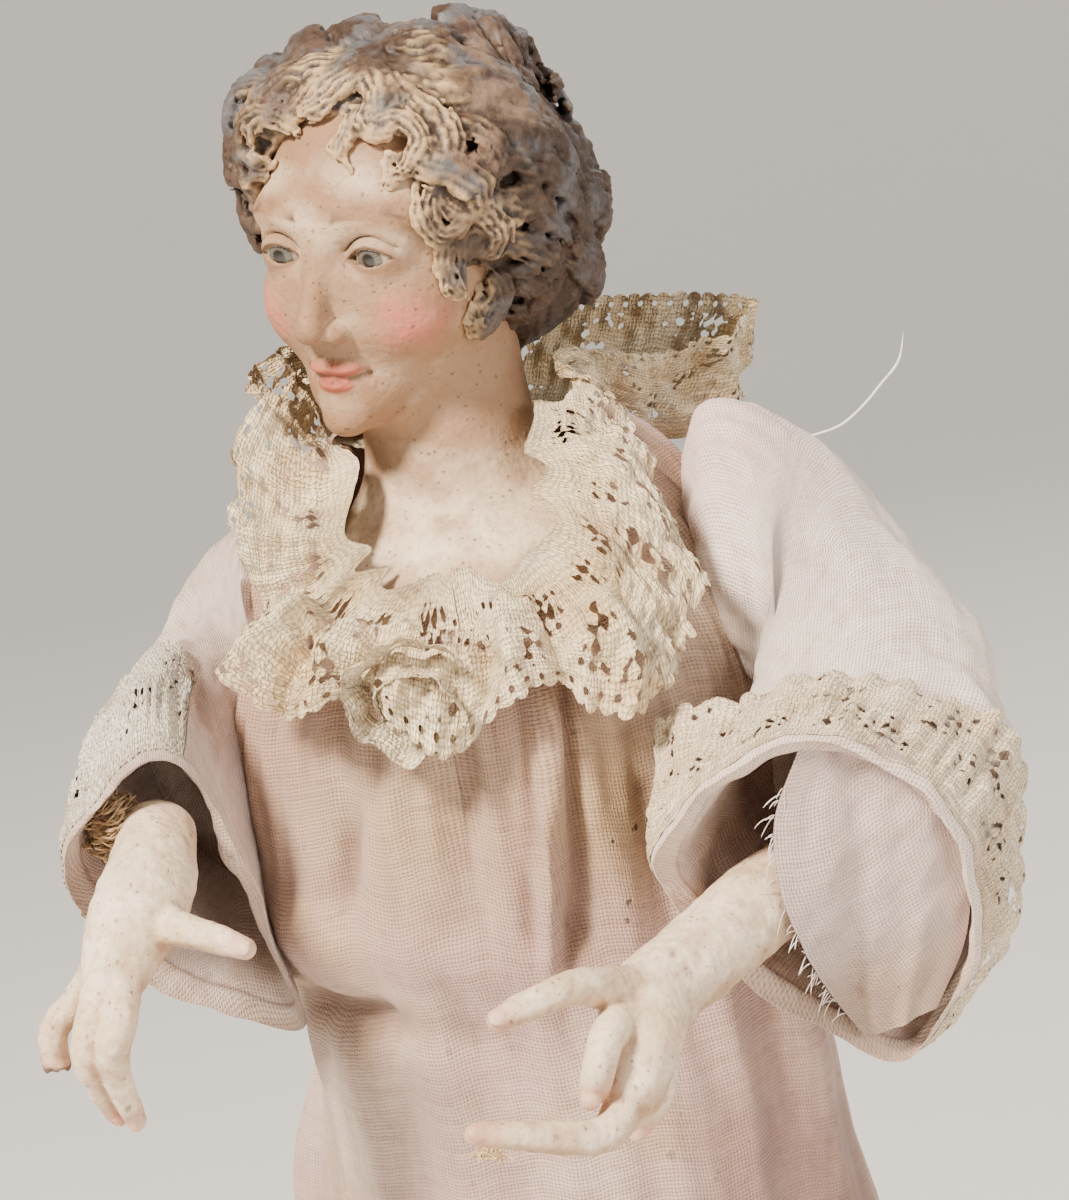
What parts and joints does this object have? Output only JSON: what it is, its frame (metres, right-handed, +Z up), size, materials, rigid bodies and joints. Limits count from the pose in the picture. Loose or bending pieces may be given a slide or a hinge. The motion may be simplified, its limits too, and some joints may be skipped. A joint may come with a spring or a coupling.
{
  "type": "presepe figure",
  "caption": "Dressed crib figure of a woman with terracotta head, carved wooden hands, linen gown and lace collar, standing on a round plinth.",
  "frame": {"origin": "centre of the plinth's underside", "axes": "+Z up along the figure, -Y the way the gown's front faces, +X the figure's left"},
  "size_m": [0.124, 0.127, 0.3491],
  "materials": {
    "painted_clay": "old oil paint on terracotta, satin, worn",
    "painted_wood": "carved and painted, satin, worn",
    "gown_linen": "plain weave linen, faded and stained",
    "sleeve_linen": "fine plain weave linen, faded and stained",
    "lining": "thin faded silk lining",
    "lace": "yellowed linen bobbin lace",
    "tow": "frayed hemp tow",
    "shoe_leather": "carved and painted, satin",
    "stained_wood": "turned and stained, satin"
  },
  "bodies": {
    "root": {"plinth": "stained_wood", "left_shoe": "shoe_leather", "right_shoe": "shoe_leather", "gown": "gown_linen", "head_and_bust": "painted_clay", "left_hand": "painted_wood", "right_hand": "painted_wood", "left_sleeve": "sleeve_linen", "left_cuff_lace": "lace", "right_sleeve": "sleeve_linen", "right_cuff_lace": "lace", "left_sleeve_lining": "lining", "wrist_tow": "tow", "lace_collar": "lace"}
  },
  "joints": []
}
